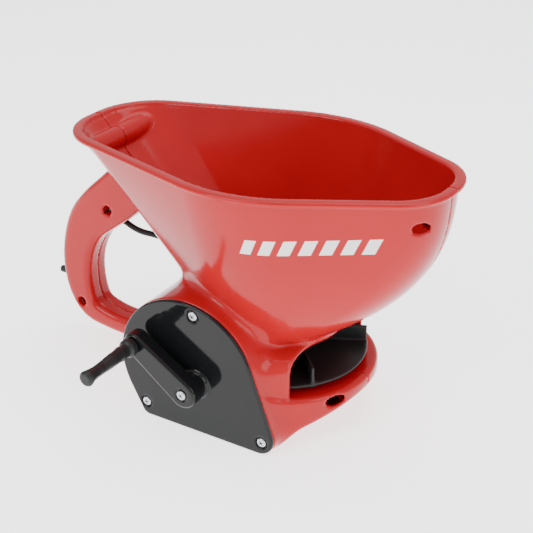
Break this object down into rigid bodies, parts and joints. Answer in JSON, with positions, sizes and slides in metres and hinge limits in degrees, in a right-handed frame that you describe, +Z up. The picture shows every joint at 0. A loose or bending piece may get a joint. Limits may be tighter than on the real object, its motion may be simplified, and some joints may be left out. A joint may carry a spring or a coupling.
{
  "type": "hand broadcast spreader",
  "caption": "Hand-held crank broadcast spreader: red boat-shaped hopper with a rear D-handle, black side gear cover and crank, and a finned impeller under a front discharge mouth.",
  "frame": {"origin": "the point where the impeller's axis meets the floor, in the middle of the flat base", "axes": "+X the throwing direction, +Z up along the impeller's axis, -Y the crank side"},
  "size_m": [0.349, 0.2393, 0.199],
  "materials": {
    "red_shell": "glossy moulded",
    "black_gloss": "glossy moulded",
    "black_satin": "satin moulded",
    "nylon": "moulded nylon",
    "zinc_steel": "zinc plated",
    "sintered_bronze": "sintered",
    "cable_sleeve": "extruded"
  },
  "bodies": {
    "frame": {"right_shell": "red_shell", "left_shell": "red_shell", "gear_cover": "black_gloss", "cover_screws": "zinc_steel", "shell_screws": "zinc_steel", "throat_plate": "red_shell", "crank_bush": "sintered_bronze", "layshaft_bushes": "sintered_bronze", "deck_bush": "sintered_bronze", "foot_bush": "sintered_bronze", "control_cable": "cable_sleeve", "cable_ferrules": "zinc_steel"},
    "crank": {"crank_gear": "nylon", "crank_arm": "black_gloss", "crank_screw": "zinc_steel", "knob_pin": "zinc_steel"},
    "knob": {"crank_knob": "black_satin"},
    "layshaft": {"layshaft": "zinc_steel", "layshaft_pinion": "nylon", "layshaft_bevel_gear": "nylon"},
    "impeller": {"impeller_shaft": "zinc_steel", "impeller_bevel_pinion": "nylon", "impeller": "black_satin", "impeller_clip": "zinc_steel", "agitator": "zinc_steel"},
    "gate": {"flow_gate": "black_satin", "gate_wire": "zinc_steel"},
    "lever": {"flow_lever": "black_satin", "lever_wire": "zinc_steel"}
  },
  "joints": [
    {"name": "crank_spin", "type": "hinge", "parent": "frame", "child": "crank", "pos_m": [-0.027, -0.08, 0.043], "axis": [0, -1, 0], "continuous": true},
    {"name": "knob_spin", "type": "hinge", "parent": "crank", "child": "knob", "pos_m": [-0.06781, -0.12, 0.07189], "axis": [0, -1, 0], "continuous": true},
    {"name": "layshaft_spin", "type": "hinge", "parent": "frame", "child": "layshaft", "pos_m": [0, -0.04, 0.02275], "axis": [0, -1, 0], "continuous": true},
    {"name": "impeller_spin", "type": "hinge", "parent": "frame", "child": "impeller", "pos_m": [0, 0, 0.045], "axis": [0, 0, 1], "continuous": true},
    {"name": "lever_slide", "type": "slide", "parent": "frame", "child": "lever", "axis": [0, 0, 1], "range_m": [0, 0.022]},
    {"name": "gate_slide", "type": "slide", "parent": "frame", "child": "gate", "axis": [1, 0, 0], "range_m": [0, 0.022]}
  ],
  "couplings": [
    {"joint": "layshaft_spin", "follows": "crank_spin", "ratio": -3.5},
    {"joint": "impeller_spin", "follows": "crank_spin", "ratio": 7},
    {"joint": "gate_slide", "follows": "lever_slide", "ratio": 1}
  ]
}
